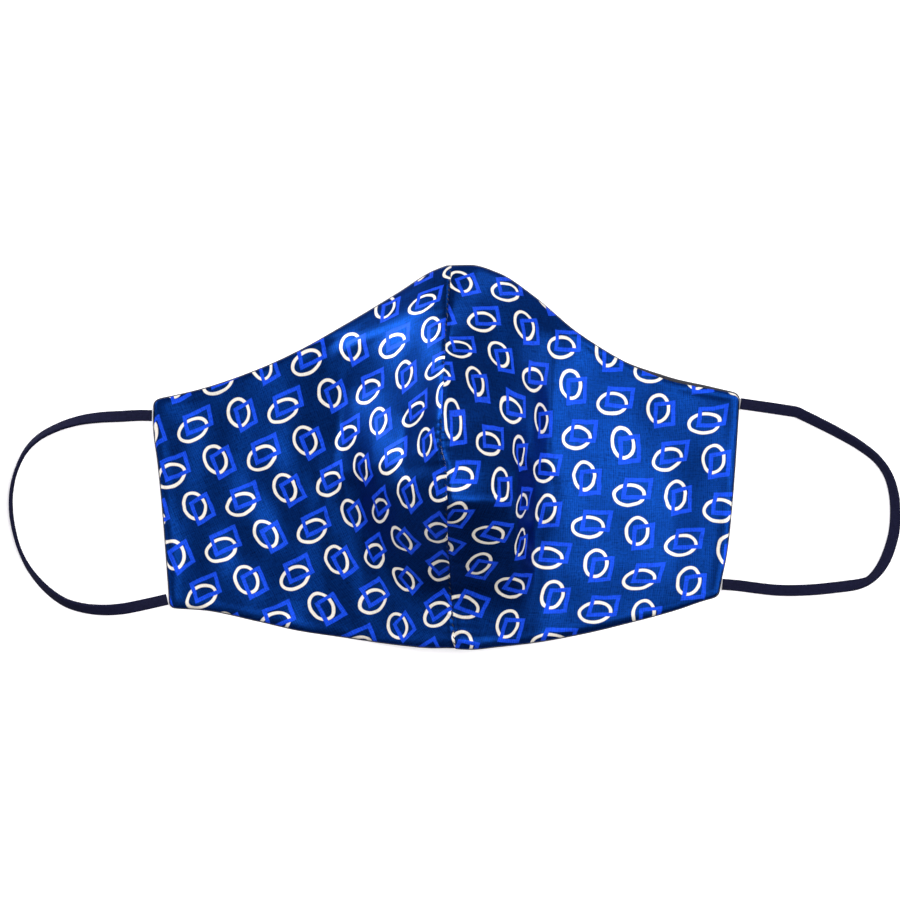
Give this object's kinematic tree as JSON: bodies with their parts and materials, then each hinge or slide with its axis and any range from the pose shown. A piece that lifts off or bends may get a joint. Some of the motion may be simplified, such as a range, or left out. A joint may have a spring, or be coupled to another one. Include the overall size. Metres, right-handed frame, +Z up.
{
  "type": "cloth face mask",
  "caption": "Contour cloth face mask of two seamed satin panels with a dark lining and flat elastic ear loops, lying outer side up.",
  "frame": {"origin": "on the surface that the mask lies on, under the middle of the mask without its ear loops", "axes": "+Z up, away from the surface; +Y towards the nose hem; +X towards the panel at the right of the centre seam"},
  "size_m": [0.3339, 0.1434, 0.0491],
  "materials": {
    "satin": "printed satin with a soft sheen",
    "lining": "matt dark cotton",
    "elastic": "matt knitted elastic"
  },
  "bodies": {
    "root": {"outer_left": "satin", "outer_right": "satin", "lining_left": "lining", "lining_right": "lining", "ear_loop_left": "elastic", "ear_loop_right": "elastic"}
  },
  "joints": []
}
